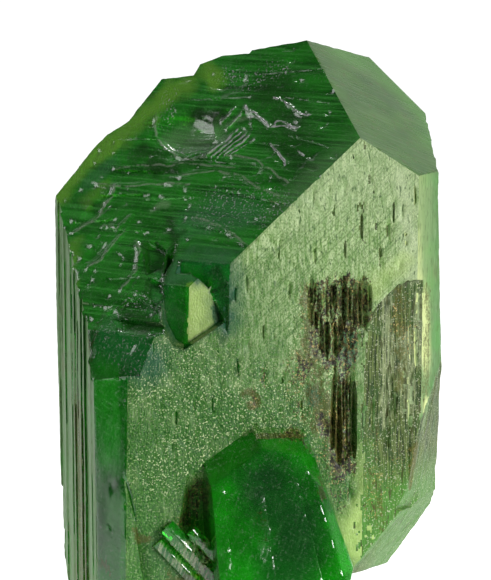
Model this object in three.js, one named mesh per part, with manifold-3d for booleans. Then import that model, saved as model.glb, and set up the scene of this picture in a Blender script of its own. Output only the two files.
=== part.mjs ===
// A gem diopside crystal: one stout glassy prism with a slanted end, a smaller crystal grown
// on its foot, and a few thin blades beside that. Nature grew it as one piece, so it is one solid.
// Millimetres, +Z up, the broken base on Z = 0, the big etched front face towards -Y.

import * as THREE from 'three';
import { ConvexGeometry } from 'three/addons/geometries/ConvexGeometry.js';
import { mergeVertices } from 'three/addons/utils/BufferGeometryUtils.js';
import Module from 'manifold-3d';

const wasm = await Module();
wasm.setup();

// Driving dimensions. The faces are measured from the heart, a point inside the crystal.
const heartHeight = 25.6;
const frontDistance = 7.5;
const backDistance = 9.9;
const leftDistance = 13.3;
const rightDistance = 15.3;
const topDistance = 19.85;
const cutterSize = 90;

// A crystal face: the way it faces, turned from the front (-Y) towards the right (+X) and
// tilted up, both in degrees, and how far it lies from the heart.
function face(turn, tilt, distance) {
  const a = THREE.MathUtils.degToRad(turn);
  const t = THREE.MathUtils.degToRad(tilt);
  const out = new THREE.Vector3(Math.sin(a) * Math.cos(t), -Math.cos(a) * Math.cos(t), Math.sin(t));
  const across = new THREE.Vector3(Math.cos(a), Math.sin(a), 0);
  const up = new THREE.Vector3().crossVectors(out, across);
  const foot = out.clone().multiplyScalar(distance);
  return { out, across, up, foot };
}

// A point given in a face's own frame: across it, up it, and out of it
function onFace(where, across, up, out = 0) {
  return where.foot.clone()
    .addScaledVector(where.across, across)
    .addScaledVector(where.up, up)
    .addScaledVector(where.out, out);
}

// The main crystal's faces
const front = face(7.5, 0, frontDistance);
const left = face(-74, -0.5, leftDistance);
const frontBevel = face(-34.5, 0.5, 12.3);
const upperLeft = face(-33.5, 34.5, 7.3);
const upperRight = face(52.5, 48, 16.4);
const rightBevel = face(58, -0.5, 14.4);
const right = face(93, 1.8, rightDistance);
const topRight = face(91.5, 43.7, 20.4);
const sliver = face(70.5, 23.3, 17.8);
const top = face(-178, 74, topDistance);
const back = face(-166, -3.5, backDistance);
const mainFaces = [
  front, left, frontBevel, upperLeft, upperRight, rightBevel, right, topRight, sliver, top, back,
  face(-166, 56.5, 19.25),
  face(-133, 30.8, 17.65),
  face(-118, 29, 17.95),
  face(-104, 6.8, 17.55),
  face(-121.5, 0, 16.6),
  face(141.5, 2, 15.6),
];

// The floors of the growth steps: two plates in line with the front bevel, an eye between
// them in line with the front, and a sloping plate below
const outerPlate = face(-34.5, 1, 7.1);
const innerPlate = face(-34.5, 1, 8.35);
const eye = face(7.5, 0, 6.5);
const lowPlate = face(-34.5, 14, 9.9);

// The floor of the part of the front that is etched back, lower right
const etchedFloor = face(16, 0, 8.62);

// The side crystal's faces
const sideFront = face(3, 7, 8.3);
const sideFaces = [
  sideFront,
  face(-76.5, -3.5, 5.8),
  face(-35.5, 44, -2.9),
  face(14, 56, -4.2),
  face(62.5, 28.5, 1.4),
  face(53, 17.5, 5.4),
  face(90, 19.5, 0.9),
  face(90, -15, 13.4),
];

// The same scatter of numbers between -1 and 1 every time
function scatter(seed) {
  const wave = Math.sin(seed * 12.9898) * 43758.5453;
  return 2 * (wave - Math.floor(wave)) - 1;
}

function solid(geometry) {
  const bare = geometry.clone();
  bare.deleteAttribute('normal');
  bare.deleteAttribute('uv');
  const merged = mergeVertices(bare, 1e-4);
  return new wasm.Manifold(new wasm.Mesh({
    numProp: 3,
    vertProperties: Float32Array.from(merged.attributes.position.array),
    triVerts: Uint32Array.from(merged.index.array),
  }));
}

function hull(points) {
  return solid(new ConvexGeometry(points));
}

// The stuff outside a face, as a big block that stands on it
function outside(where) {
  const block = new THREE.BoxGeometry(cutterSize, cutterSize, cutterSize);
  block.translate(0, 0, cutterSize / 2);
  block.applyMatrix4(new THREE.Matrix4().makeBasis(where.across, where.up, where.out));
  block.translate(where.foot.x, where.foot.y, where.foot.z);
  return solid(block);
}

function cutByFaces(block, faces) {
  return faces.reduce((body, where) => body.subtract(outside(where)), solid(block));
}

// The hull of rims that lie over or under a face, each given as its height and its corners
function shaft(where, ...rims) {
  return hull(rims.flatMap(([out, corners]) => (
    corners.map(([across, up]) => onFace(where, across, up, out)))));
}

// A hollow with the given rim on a face and sloping walls; floorScale is its floor's size
// against the rim, and the floor drops towards the right and the top by the two slopes.
function hollow(where, rim, depth, floorScale = 0.75, slopes = [0, 0]) {
  const middle = [0, 1].map((i) => rim.reduce((sum, p) => sum + p[i], 0) / rim.length);
  const scaled = (scale) => rim.map((p) => (
    p.map((value, i) => middle[i] + (value - middle[i]) * scale)));
  const floor = scaled(floorScale).map(([across, up]) => {
    const drop = slopes[0] * (across - middle[0]) + slopes[1] * (up - middle[1]);
    return onFace(where, across, up, Math.min(-depth - drop, -0.03));
  });
  const above = scaled(2 - floorScale).map(([across, up]) => onFace(where, across, up, depth));
  return hull([...above, ...floor]);
}

// A flat-bottomed strip cut up the whole length of a face
function strip(where, across, width, depth) {
  const block = new THREE.BoxGeometry(width, cutterSize, 2 * depth);
  block.applyMatrix4(new THREE.Matrix4().makeBasis(where.across, where.up, where.out));
  const place = onFace(where, across, 0);
  block.translate(place.x, place.y, place.z);
  return solid(block);
}

// The corners of a cut, given along and across its own line, turned and moved onto a face
function turned(where, across, up, turn, corners) {
  const angle = THREE.MathUtils.degToRad(turn);
  return corners.map(([along, aside, out]) => onFace(
    where,
    across + along * Math.cos(angle) - aside * Math.sin(angle),
    up + along * Math.sin(angle) + aside * Math.cos(angle),
    out,
  ));
}

// A low step: the face falls away over its width and climbs back in one sharp edge
function ledge(where, across, up, length, width, depth, turn) {
  const end = length / 2;
  const above = 0.4;
  const skin = -0.01;
  return hull(turned(where, across, up, turn, [
    [-end, 0, 0], [end, 0, 0], [-end, 0, above], [end, 0, above],
    [-0.7 * end, -width, skin], [0.7 * end, -width, skin],
    [-0.7 * end, -width, above], [0.7 * end, -width, above],
    [-0.6 * end, -0.06, -depth], [0.55 * end, -0.06, -depth],
  ]));
}

// A pointed groove with a sharp bottom, as acid or weather etches it
function groove(where, across, up, width, length, depth, turn = 0) {
  const end = length / 2;
  const half = width / 2;
  const above = 0.2;
  return hull(turned(where, across, up, turn + 90, [
    [-end, 0, 0], [end, 0, 0], [-end, 0, above], [end, 0, above],
    [-0.5 * end, half, 0], [0.6 * end, half, 0], [-0.5 * end, half, above], [0.6 * end, half, above],
    [-0.6 * end, -half, 0], [0.5 * end, -half, 0], [-0.6 * end, -half, above], [0.5 * end, -half, above],
    [-0.5 * end, 0, -depth], [0.45 * end, 0, -depth],
  ]));
}

// A shell-shaped break: the cap of a ball, sunk to a depth below a face
function scoop(where, across, up, radius, depth, stretch = 1, turn = 0) {
  const ball = new THREE.SphereGeometry(radius, 28, 16);
  ball.scale(stretch, 1, 1);
  ball.rotateZ(THREE.MathUtils.degToRad(turn));
  ball.applyMatrix4(new THREE.Matrix4().makeBasis(where.across, where.up, where.out));
  const centre = onFace(where, across, up, radius - depth);
  ball.translate(centre.x, centre.y, centre.z);
  return solid(ball);
}

function cutEach(body, cuts) {
  return cuts.reduce((rest, cut) => rest.subtract(cut), body);
}

// The main prism: ten sides and five slanted end faces
function mainCrystal() {
  const block = new THREE.BoxGeometry(44, 32, 56);
  block.translate(0, 0, 28 - heartHeight);
  return cutByFaces(block, mainFaces);
}

// Notches break the sharp upper left edge into three lobes
function edgeNotches() {
  const through = 9;
  const notch = (corners) => hull([
    ...corners.map(([across, up]) => onFace(upperLeft, across, up, 2)),
    ...corners.map(([across, up]) => onFace(upperLeft, across + 0.3, up - 0.5, -through)),
  ]);
  return [
    notch([[-13.4, 10.1], [-11.8, 11.4], [-11.1, 13.4], [-14, 16], [-17, 11]]),
    notch([[-11.1, 13.4], [-10.7, 14.6], [-10.2, 15.6], [-13, 18], [-15, 14]]),
    notch([[-10.0, 15.6], [-9.4, 15.7], [-7.2, 16.0], [-6.8, 17.6], [-7, 20], [-11, 19]]),
  ];
}

// The growth steps where the slanted face meets the front: a plate at the top and right, and
// inside it a six-sided hollow with a second plate and a bright eye
function growthSteps() {
  const plateRim = [[-1.3, 2.9], [3.3, 3.0], [3.3, -2.2], [1.8, -2.0], [-1.3, 1.3]];
  const hollowRim = [
    [-5.8, -4.1], [-6.7, -3.7], [-7.6, -2.1], [-7.8, 0.6], [-6.6, 2.0], [-4.9, 1.8],
    [-3.6, 0.7], [-3.2, -0.4], [-2.5, -1.9],
  ];
  const hollowFloor = [
    [-5.4, -3.2], [-5.9, -3.1], [-6.7, -1.9], [-7.1, 0.6], [-6.4, 1.7], [-5.1, 1.6],
    [-4.0, 0.4], [-3.6, -0.5], [-3.5, -1.7],
  ];
  const plateShaft = shaft(outerPlate, [3, plateRim], [-1, plateRim]);
  const hollowShaft = shaft(front, [2, hollowRim], [0, hollowRim], [-1, hollowFloor], [-3, hollowFloor]);
  return [
    plateShaft.intersect(outside(outerPlate)).subtract(hollowShaft),
    hollowShaft.intersect(outside(eye)),
    hollowShaft.intersect(outside(innerPlate)),
    groove(front, -2.5, -0.4, 0.45, 5.6, 0.35),
  ];
}

// Below the growth steps the slanted face ends early, on one more plate
function lowerPlate() {
  const rim = [[-7.6, -2.0], [-2.6, -1.9], [1.6, -3.4], [-1.1, -8.6], [-7.6, -9.6]];
  return [shaft(lowPlate, [4, rim], [-1, rim]).intersect(outside(lowPlate))];
}

// Small hollow facets left of the growth steps, and the dark wedge below them
function hollowFacets() {
  const window = [[-5.7, -0.3], [-4.6, -0.1], [-3.1, -1.0], [-3.0, -2.6], [-4.1, -3.2], [-4.7, -2.2]];
  const arrow = [[-3.1, -1.1], [-2.5, -0.4], [-2.2, -2.0], [-2.5, -3.2]];
  const lowWindow = [[-3.9, -3.5], [-2.7, -3.4], [-1.6, -5.2], [-2.4, -6.2], [-3.6, -5.0]];
  const curlyHollow = [[-5.7, -6.4], [-4.9, -5.4], [-2.9, -5.6], [-1.4, -6.2], [-2.2, -6.9], [-5.2, -7.1]];
  return [
    hollow(upperLeft, window, 0.5, 0.7, [0.12, 0.08]),
    hollow(upperLeft, arrow, 0.6, 0.6),
    hollow(upperLeft, lowWindow, 0.4, 0.7, [0.1, 0]),
    hollow(upperLeft, curlyHollow, 0.3, 0.8),
    ledge(upperLeft, -1.9, -7.4, 7.4, 1.4, 0.55, -1),
    ledge(upperLeft, -8.6, -6.0, 5.0, 1.6, 0.2, -3),
  ];
}

// Thin growth layers cross the slanted face in low, nearly level steps
function slantedLayers() {
  const steps = [
    [-8.6, 6.5, 7.2, 1.5, 0.22, -2], [-3.0, 7.6, 9.0, 1.6, 0.16, -5], [3.2, 4.2, 7.6, 2.0, 0.18, -9],
    [-9.4, 4.2, 6.6, 1.4, 0.20, 3], [-5.2, 3.9, 6.0, 1.2, 0.16, 4], [2.4, 16.2, 8.6, 1.6, 0.14, 5],
    [6.0, 9.6, 5.6, 1.6, 0.14, -14], [-11.4, 1.6, 5.0, 1.3, 0.18, 6], [-8.2, 0.9, 7.4, 1.5, 0.15, -2],
    [0.4, 1.2, 5.2, 1.2, 0.16, -8], [-3.4, 13.6, 7.4, 1.8, 0.16, 3], [4.8, 13.4, 5.8, 1.4, 0.12, -7],
    [-9.8, 9.6, 5.4, 1.3, 0.16, 2], [-6.6, -3.6, 4.0, 1.0, 0.14, 7], [1.9, 9.3, 5.0, 1.0, 0.16, -6],
  ];
  return steps.map(([across, up, length, width, depth, turn]) => (
    ledge(upperLeft, across, up, length, width, depth, turn)));
}

// Shell-shaped breaks on the slanted face
function slantedBreaks() {
  return [
    scoop(upperLeft, -6.0, 9.6, 9, 0.35, 1.5, -12),
    scoop(upperLeft, -1.4, 11.0, 6, 0.30, 1.3, -50),
    scoop(upperLeft, 3.2, 11.6, 5, 0.22, 1.6, -35),
    scoop(upperLeft, -5.9, 5.4, 12, 0.22, 1.7, -3),
    scoop(upperLeft, 5.2, 7.9, 4, 0.20, 1.6, -28),
    scoop(upperLeft, -11.6, 2.4, 5, 0.30, 0.6, -38),
    scoop(upperLeft, -3.6, 15.0, 5, 0.25, 1.5, 5),
    scoop(upperLeft, -9.9, -1.4, 4, 0.25, 0.6, -35),
  ];
}

// Upright etch grooves and small pits on the front face
function frontGrooves() {
  const grooves = [
    [9.0, 8.2, 1.1], [4.7, 9.4, 0.8], [7.4, 10.6, 0.6], [3.1, 6.0, 3.0], [5.9, 6.7, 1.6],
    [1.6, 3.6, 2.4], [8.1, 5.4, 2.6], [10.6, 6.2, 3.4], [6.8, 3.6, 2.2], [11.6, 4.4, 1.8],
    [-0.9, 1.0, 1.4], [2.4, 0.4, 1.9], [0.4, -2.6, 2.4], [4.4, 3.2, 1.6], [9.6, 2.9, 2.1],
    [12.3, 7.6, 2.2], [-1.6, -5.4, 1.6], [1.9, -6.2, 2.0], [-1.8, 0.2, 1.7], [0.9, -10.6, 2.2],
    [-3.6, -8.4, 1.4], [3.4, -8.8, 2.6], [-6.4, -9.4, 1.8], [4.6, -2.4, 2.8],
  ];
  return grooves.map(([across, up, length], i) => {
    const width = 0.22 + 0.08 * scatter(i);
    return groove(front, across, up, width, length, 0.2 + 0.06 * scatter(i + 40), 3 * scatter(i + 80));
  });
}

// Where dark inclusions weather out, narrow upright slots eat into the front face
function inclusionSlots() {
  const slots = [];
  const row = (count, start, end, top, bottom, deepest, seed) => {
    for (let i = 0; i < count; i += 1) {
      const across = start + (end - start) * (i + 0.5 + 0.4 * scatter(seed + i)) / count;
      const upper = top + 0.7 * scatter(seed + i + 20);
      const lower = bottom + 1.1 * scatter(seed + i + 40);
      const depth = deepest * (0.7 + 0.3 * scatter(seed + i + 60));
      const width = 0.55 + 0.2 * scatter(seed + i + 80);
      const middle = (upper + lower) / 2;
      slots.push(groove(front, across, middle, width, upper - lower, depth, 2 * scatter(seed + i)));
    }
  };
  row(13, 3.8, 8.9, 1.2, -2.2, 0.75, 10);
  row(5, 4.4, 7.4, -1.6, -5.4, 0.6, 700);
  row(6, 5.9, 7.7, -5.4, -12.9, 0.8, 800);
  row(5, -1.3, 3.0, -10.4, -12.0, 0.5, 900);
  return slots;
}

// The lower right of the front is etched back under a slanted step, in upright fibres
function etchedStep() {
  const upperRim = [
    [15.5, 1.3], [11.9, 1.2], [11.0, 0.9], [9.4, -0.7], [8.6, -1.9], [8.4, -9.2], [15.5, -9.2],
  ];
  const lowerRim = [[15.5, -8.6], [8.3, -8.6], [6.9, -13.5], [6.4, -27], [15.5, -27]];
  const lowered = (rim) => rim.map(([across, up]) => [across, up > -2 ? up - 0.6 : up]);
  const recess = [upperRim, lowerRim].map((rim) => {
    const wall = lowered(rim);
    return shaft(front, [2, rim], [0, rim], [-1, wall], [-4, wall]).intersect(outside(etchedFloor));
  });
  const fibres = [];
  for (let i = 0; i < 26; i += 1) {
    const across = 8.9 + 3.6 * scatter(i + 1100);
    const up = -7.5 + 7 * scatter(i + 1150);
    const length = 4.5 + 2.5 * scatter(i + 1200);
    const depth = 0.2 + 0.08 * scatter(i + 1250);
    const width = 0.4 + 0.12 * scatter(i);
    fibres.push(groove(etchedFloor, across, up, width, length, depth, 2 * scatter(i + 1300)));
  }
  return [...recess, ...fibres];
}

// Upright growth ribs on a long side: strips of the face cut back by slightly different depths
function sideRibs(where, from, to, count, deepest, seed) {
  const width = (to - from) / count;
  const ribs = [];
  for (let i = 0; i < count; i += 1) {
    const depth = deepest * (0.55 + 0.45 * scatter(seed + i));
    const across = from + (i + 0.5 + 0.25 * scatter(seed + i + 30)) * width;
    ribs.push(strip(where, across, width * (0.75 + 0.25 * scatter(seed + i + 60)), depth));
  }
  return ribs;
}

// The lower right corner is broken away in three slanted breaks, the last nearly level
function lowerRightBreaks() {
  const steepBreak = face(72, -10, 16.1);
  const lowBreak = face(72, -37, 20.8);
  const overhang = face(56.5, -71, 23.95);
  const footWall = face(90, 0, 8.3);
  return [
    outside(steepBreak),
    outside(lowBreak),
    outside(overhang).intersect(outside(footWall)),
    ledge(rightBevel, 0.6, -9.2, 4.0, 1.2, 0.4, 170),
    ledge(steepBreak, 0.4, -14.6, 7.0, 1.6, 0.5, 175),
    scoop(lowBreak, 0.5, 2.5, 7, 0.35, 1.2, 20),
  ];
}

// The foot of the left side leans in a little, and crack-like steps run beside it
function lowerLeftBreaks() {
  return [
    outside(face(-92, -12, 19.3)),
    ledge(frontBevel, 2.4, -17.6, 7.5, 0.9, 0.25, 84),
    ledge(front, -9.2, -20.6, 7.5, 0.8, 0.35, 98),
    groove(front, -10.0, -15.4, 0.5, 4.5, 0.25, 14),
  ];
}

// A dark cleft beside the side crystal
function cleft() {
  const rim = [[-5.6, -13.8], [-3.2, -13.4], [-2.4, -22.5], [-5.0, -22.0], [-6.4, -18.2]];
  return [hollow(front, rim, 1.3, 0.6, [0.3, 0])];
}

// The back, which grew close to the rock: long low steps, shell-shaped chips and grooves
function backBreaks() {
  const cuts = [
    ledge(back, -4.0, -1.5, 34, 5.5, 0.8, 84),
    ledge(back, 6.4, -9.0, 22, 4.0, 0.6, 97),
    ledge(back, 3.0, 9.0, 12, 2.6, 0.5, 62),
    ledge(back, -1.0, -18.6, 17, 3.4, 0.9, 176),
    scoop(back, -7.5, -13.0, 8, 0.7, 1.3, 30),
    scoop(back, 8.6, -19.0, 7, 1.0, 1.3, -40),
    scoop(back, 2.4, 2.0, 9, 0.35, 1.6, 15),
    ledge(top, 3.0, 1.4, 12, 2.4, 0.3, 12),
    ledge(topRight, -1.0, 1.0, 6, 1.4, 0.2, 20),
    scoop(right, 1.4, -4.0, 9, 0.35, 0.6, 0),
    ledge(right, 0.6, 3.0, 15, 2.0, 0.3, 92),
  ];
  for (let i = 0; i < 16; i += 1) {
    const depth = 0.3 + 0.1 * scatter(i + 1500);
    const up = -3 + 15 * scatter(i + 1550);
    const length = 6 + 4 * scatter(i + 1600);
    cuts.push(groove(back, 11 * scatter(i + 1650), up, 0.6, length, depth, 2 * scatter(i + 1700)));
  }
  return cuts;
}

// The smaller crystal at the foot, leaning left, with its own end faces and ribs
function sideCrystal() {
  const block = new THREE.BoxGeometry(24, 10, 20);
  block.translate(2, -9, -16);
  const body = cutByFaces(block, sideFaces);
  return cutEach(body, [
    ledge(sideFront, 4.4, -19.0, 9.0, 1.2, 0.22, 104),
    ledge(sideFront, 1.2, -18.6, 8.0, 1.6, 0.16, 98),
    ledge(sideFront, -1.9, -18.8, 7.0, 0.9, 0.18, 94),
    scoop(sideFront, 0.9, -15.5, 9, 0.18, 1.4, 20),
    scoop(sideFront, 1.6, -20.0, 7, 0.22, 0.8, -20),
  ]);
}

// Thin glassy blades that lie across the front's foot, down towards the side crystal
function blades() {
  const lean = -47;
  const list = [
    { across: -4.3, up: -20.8, length: 8.6, width: 0.75, rise: 1.5 },
    { across: -3.3, up: -20.1, length: 6.0, width: 0.5, rise: 1.9 },
    { across: -5.5, up: -21.4, length: 6.8, width: 0.6, rise: 1.0 },
  ];
  return list.map(({ across, up, length, width, rise }) => {
    const rod = new THREE.CylinderGeometry(width, width * 1.15, length, 6);
    rod.scale(1, 1, 0.7);
    rod.rotateY(THREE.MathUtils.degToRad(14));
    rod.rotateZ(THREE.MathUtils.degToRad(90 + lean));
    rod.applyMatrix4(new THREE.Matrix4().makeBasis(front.across, front.up, front.out));
    const place = onFace(front, across, up, rise - 1);
    rod.translate(place.x, place.y, place.z);
    return solid(rod);
  });
}

function diopsideSolid() {
  const cuts = [
    ...edgeNotches(),
    ...growthSteps(),
    ...lowerPlate(),
    ...hollowFacets(),
    ...slantedLayers(),
    ...slantedBreaks(),
    ...frontGrooves(),
    ...inclusionSlots(),
    ...etchedStep(),
    ...sideRibs(left, -9.6, 4.4, 12, 0.2, 200),
    ...sideRibs(rightBevel, -1.6, 1.6, 4, 0.14, 300),
    ...sideRibs(right, -8.0, 6.5, 10, 0.16, 400),
    ...sideRibs(back, -13.5, 14.0, 9, 0.2, 500),
    ...lowerRightBreaks(),
    ...lowerLeftBreaks(),
    ...cleft(),
    ...backBreaks(),
  ];
  const main = cutEach(mainCrystal(), cuts);
  const grown = [sideCrystal(), ...blades()].reduce((body, piece) => body.add(piece), main);
  const ground = new THREE.BoxGeometry(cutterSize, cutterSize, cutterSize);
  ground.translate(0, 0, -cutterSize / 2 - heartHeight);
  return grown.subtract(solid(ground));
}

// The solid's mesh, with the middle of its box over the origin and its base on Z = 0
function diopsideGeometry() {
  const mesh = diopsideSolid().getMesh();
  const geometry = new THREE.BufferGeometry();
  geometry.setAttribute('position', new THREE.BufferAttribute(mesh.vertProperties, 3));
  geometry.setIndex(new THREE.BufferAttribute(mesh.triVerts, 1));
  geometry.computeBoundingBox();
  const { min, max } = geometry.boundingBox;
  geometry.translate(-(min.x + max.x) / 2, -(min.y + max.y) / 2, -min.z);
  geometry.computeVertexNormals();
  return geometry;
}

const crystalGreen = new THREE.MeshStandardMaterial({ color: 0x3f7a35, roughness: 0.3, metalness: 0 });
const crystal = new THREE.Mesh(diopsideGeometry(), crystalGreen);
crystal.name = 'diopside_crystal';

const group = new THREE.Group();
group.add(crystal);

export default group;
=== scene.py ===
import math

import bmesh
import bpy
import numpy as np
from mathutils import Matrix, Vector, noise


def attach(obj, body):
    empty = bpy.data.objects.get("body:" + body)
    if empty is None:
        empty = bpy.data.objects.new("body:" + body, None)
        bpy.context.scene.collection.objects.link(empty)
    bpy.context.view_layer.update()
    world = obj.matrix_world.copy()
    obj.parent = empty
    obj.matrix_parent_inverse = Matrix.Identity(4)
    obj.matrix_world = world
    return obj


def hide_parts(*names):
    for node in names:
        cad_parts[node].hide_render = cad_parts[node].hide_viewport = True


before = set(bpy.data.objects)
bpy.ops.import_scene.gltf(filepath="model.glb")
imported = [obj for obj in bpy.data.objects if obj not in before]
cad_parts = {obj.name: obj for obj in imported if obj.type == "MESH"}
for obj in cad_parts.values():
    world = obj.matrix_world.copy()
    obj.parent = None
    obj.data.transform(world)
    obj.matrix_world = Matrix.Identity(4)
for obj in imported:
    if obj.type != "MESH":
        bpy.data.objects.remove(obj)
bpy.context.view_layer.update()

# The crystal's form. One gem diopside crystal, grown as a single piece: a stout prism with a
# slanted glassy end and a smaller crystal on its foot. Its solid gets an even skin of small
# facets that keeps the sharp edges, so that the etching and growth lines can be worked into it.
MM = 0.001
HEART = Vector((0.032, -0.766, 25.6))
SAME_POINT = 0.002
FACETS_KEPT = 0.53

shape = bmesh.new()
shape.from_mesh(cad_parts["diopside_crystal"].data)
bmesh.ops.remove_doubles(shape, verts=shape.verts, dist=SAME_POINT * MM)
crystal = bpy.data.objects.new("crystal", bpy.data.meshes.new("crystal"))
shape.to_mesh(crystal.data)
shape.free()
bpy.context.collection.objects.link(crystal)


def apply_modifiers(piece):
    """Turns what the piece's modifiers make of it into its own mesh."""
    bpy.context.view_layer.update()
    evaluated = piece.evaluated_get(bpy.context.evaluated_depsgraph_get())
    finished = bpy.data.meshes.new_from_object(evaluated)
    piece.modifiers.clear()
    piece.data = finished


def close_pinches(shape):
    """Where two walls touch along a line, the spot is cut out and filled again."""
    for _ in range(6):
        pinched = {v for e in shape.edges if len(e.link_faces) != 2 for v in e.verts}
        if not pinched:
            return
        bmesh.ops.delete(shape, geom=list(pinched), context="VERTS")
        rims = [e for e in shape.edges if len(e.link_faces) == 1]
        bmesh.ops.holes_fill(shape, edges=rims, sides=0)
        bmesh.ops.triangulate(shape, faces=[f for f in shape.faces if len(f.verts) > 4])


facets = crystal.modifiers.new("facets", "REMESH")
facets.mode = "SHARP"
facets.octree_depth = 9
facets.scale = 0.5
facets.sharpness = 1.0
facets.use_remove_disconnected = True
apply_modifiers(crystal)

skin = bmesh.new()
skin.from_mesh(crystal.data)
close_pinches(skin)
bmesh.ops.scale(skin, vec=(1 / MM, 1 / MM, 1 / MM), verts=skin.verts)
bmesh.ops.translate(skin, vec=-HEART, verts=skin.verts)
skin.normal_update()


# The natural faces. Each is given by the way it faces, turned from the front towards the right
# and tilted up, its distance from the crystal's heart in millimetres, and its finish.
def face(turn, tilt, distance, finish):
    a, t = math.radians(turn), math.radians(tilt)
    out = Vector((math.sin(a) * math.cos(t), -math.cos(a) * math.cos(t), math.sin(t)))
    across = Vector((math.cos(a), math.sin(a), 0))
    up = out.cross(across)
    return {"out": out, "across": across, "up": up, "distance": distance, "finish": finish}


FINISHES = ["etched", "slanted", "glassy", "striated", "ribbed", "satin", "fibrous"]
faces = {
    "front": face(7.5, 0, 7.5, "etched"),
    "eye": face(7.5, 0, 6.5, "etched"),
    "fibrous floor": face(16, 0, 8.62, "fibrous"),
    "upper left": face(-33.5, 34.5, 7.3, "slanted"),
    "front bevel": face(-34.5, 0.5, 12.3, "glassy"),
    "outer plate": face(-34.5, 1, 7.1, "glassy"),
    "inner plate": face(-34.5, 1, 8.35, "glassy"),
    "low plate": face(-34.5, 14, 9.9, "glassy"),
    "upper right": face(52.5, 48, 16.4, "satin"),
    "top": face(-178, 74, 19.85, "satin"),
    "top back": face(-166, 56.5, 19.25, "satin"),
    "top right": face(91.5, 43.7, 20.4, "satin"),
    "sliver": face(70.5, 23.3, 17.8, "satin"),
    "left": face(-74, -0.5, 13.3, "striated"),
    "left foot": face(-92, -12, 19.3, "striated"),
    "far left": face(-104, 6.8, 17.55, "ribbed"),
    "left back": face(-121.5, 0, 16.6, "ribbed"),
    "left end": face(-133, 30.8, 17.65, "satin"),
    "left shoulder": face(-118, 29, 17.95, "satin"),
    "right bevel": face(58, -0.5, 14.4, "striated"),
    "right": face(93, 1.8, 15.3, "ribbed"),
    "right back": face(141.5, 2, 15.6, "ribbed"),
    "back": face(-166, -3.5, 9.9, "ribbed"),
    "steep break": face(72, -10, 16.1, "fibrous"),
    "low break": face(72, -37, 20.8, "fibrous"),
    "overhang": face(56.5, -71, 23.95, "fibrous"),
    "foot": face(0, -90, 25.6, "glassy"),
    "side front": face(3, 7, 8.3, "glassy"),
    "side left": face(-76.5, -3.5, 5.8, "glassy"),
    "side top left": face(-35.5, 44, -2.9, "glassy"),
    "side top": face(14, 56, -4.2, "glassy"),
    "side top right": face(62.5, 28.5, 1.4, "glassy"),
    "side right": face(53, 17.5, 5.4, "glassy"),
    "side shoulder": face(90, 19.5, 0.9, "glassy"),
}
face_names = list(faces)
face_out = np.array([faces[n]["out"] for n in face_names])
face_across = np.array([faces[n]["across"] for n in face_names])
face_up = np.array([faces[n]["up"] for n in face_names])
face_distance = np.array([faces[n]["distance"] for n in face_names])


def nearest_faces(points, normals):
    """For each point, the natural face that lies nearest and that its own normal agrees with."""
    gap = np.abs(points @ face_out.T - face_distance)
    proud = points @ np.array(faces["front"]["out"]) - faces["front"]["distance"]
    on_side_crystal = (points[:, 2] < -10.9) & (proud > 0.15)
    belongs = np.array([n.startswith("side ") for n in face_names])
    gap += 50 * (belongs[None, :] ^ on_side_crystal[:, None])
    turned_away = 1 - normals @ face_out.T
    score = gap + 3.0 * turned_away
    best = score.argmin(1)
    return best, np.take_along_axis(turned_away, best[:, None], 1)[:, 0]


def on_face(points, name):
    """Each point's place across and up a natural face, and how near to it the point lies."""
    natural = faces[name]
    across = points @ np.array(natural["across"])
    up = points @ np.array(natural["up"])
    gap = np.abs(points @ np.array(natural["out"]) - natural["distance"])
    return across, up, np.clip(1.8 - gap, 0, 1)


def distance_to(where, trail):
    """How far each point of a face lies from a line drawn through a trail of points on it."""
    across, up = where[0], where[1]
    nearest = np.full(len(across), np.inf)
    for start, end in zip(trail[:-1], trail[1:]):
        step = np.array(end) - np.array(start)
        share = ((across - start[0]) * step[0] + (up - start[1]) * step[1]) / (step @ step)
        share = np.clip(share, 0, 1)
        away = np.hypot(across - start[0] - share * step[0], up - start[1] - share * step[1])
        nearest = np.minimum(nearest, away)
    return nearest


def stroke(where, trail, width, strength=1.0):
    """How much of a brush stroke along a trail of points covers each point of a face."""
    return strength * where[2] * np.clip(1.4 - distance_to(where, trail) / width, 0, 1)


# The relief of each finish, in millimetres out of the face: etched grain and pits on the
# front, growth layers and shell-shaped breaks on the slanted face, ribs on the long sides.
def ripple(u, v, seed, wide, tall):
    return noise.noise(Vector((u / wide, v / tall, 7.3 * seed)))


def etched_relief(u, v):
    coarse = min(1.0, max(0.0, 0.35 - 0.085 * v - 0.04 * u))
    grain = (0.008 + 0.026 * coarse) * ripple(u, v, 1, 0.45, 1.8)
    grain += (0.006 + 0.040 * coarse) * ripple(u, v, 2, 0.38, 0.42)
    along, aside = 0.68 * u - 0.73 * v, 0.73 * u + 0.68 * v
    scratches = max(0.0, ripple(aside, along, 3, 0.55, 9.0) - 0.30) * 0.10 * (1 - coarse)
    pits = max(0.0, ripple(u, v, 4, 0.5, 1.5) - 0.42) * 0.40
    return grain - scratches - pits


def slanted_relief(u, v):
    level = v + 0.6 * ripple(u, v, 6, 7.0, 3.5)
    layers = 0.020 * ripple(u, level, 7, 9.0, 0.45) + 0.030 * ripple(u, level, 8, 5.0, 1.1)
    swell = 0.08 * ripple(u, v, 9, 3.2, 2.2)
    chips = max(0.0, ripple(u, v, 10, 1.1, 0.6) - 0.34) * 0.34
    return layers + swell - chips


def glassy_relief(u, v):
    veils = 0.014 * ripple(u, v, 21, 0.6, 2.4) + 0.040 * ripple(u, v, 22, 2.6, 3.4)
    return veils - max(0.0, ripple(u, v, 23, 0.9, 1.4) - 0.45) * 0.20


def striated_relief(u, v):
    ribs = 0.028 * ripple(u, v, 11, 0.55, 15.0) + 0.012 * ripple(u, v, 12, 0.40, 3.0)
    return ribs + 0.05 * ripple(u, v, 13, 2.6, 6.0)


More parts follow.
